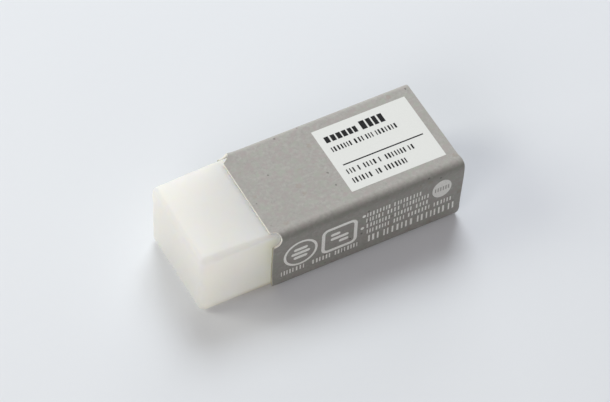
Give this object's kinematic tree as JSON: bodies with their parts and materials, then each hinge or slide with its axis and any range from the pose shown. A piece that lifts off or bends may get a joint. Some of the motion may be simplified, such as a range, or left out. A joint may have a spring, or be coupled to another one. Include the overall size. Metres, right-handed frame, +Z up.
{
  "type": "rubber eraser",
  "caption": "White block eraser in a folded grey card sleeve. The block rubs out pencil and slides in the sleeve, which keeps fingers clean.",
  "frame": {"origin": "under the middle of the whole object, on the surface that it rests on", "axes": "+X along the length, from the bare end of the block to the back end of the sleeve; -Y towards the printed narrow side; +Z up"},
  "size_m": [0.043, 0.0176, 0.0122],
  "materials": {
    "soft_vinyl": "white, soft and slightly translucent, satin",
    "grey_card": "recycled grey card, matte, with pale print"
  },
  "bodies": {
    "sleeve": {"card_sleeve": "grey_card"},
    "block": {"eraser_block": "soft_vinyl"}
  },
  "joints": [
    {"name": "block_slide", "type": "slide", "parent": "sleeve", "child": "block", "axis": [1, 0, 0], "range_m": [-0.0285, 0.04]}
  ]
}
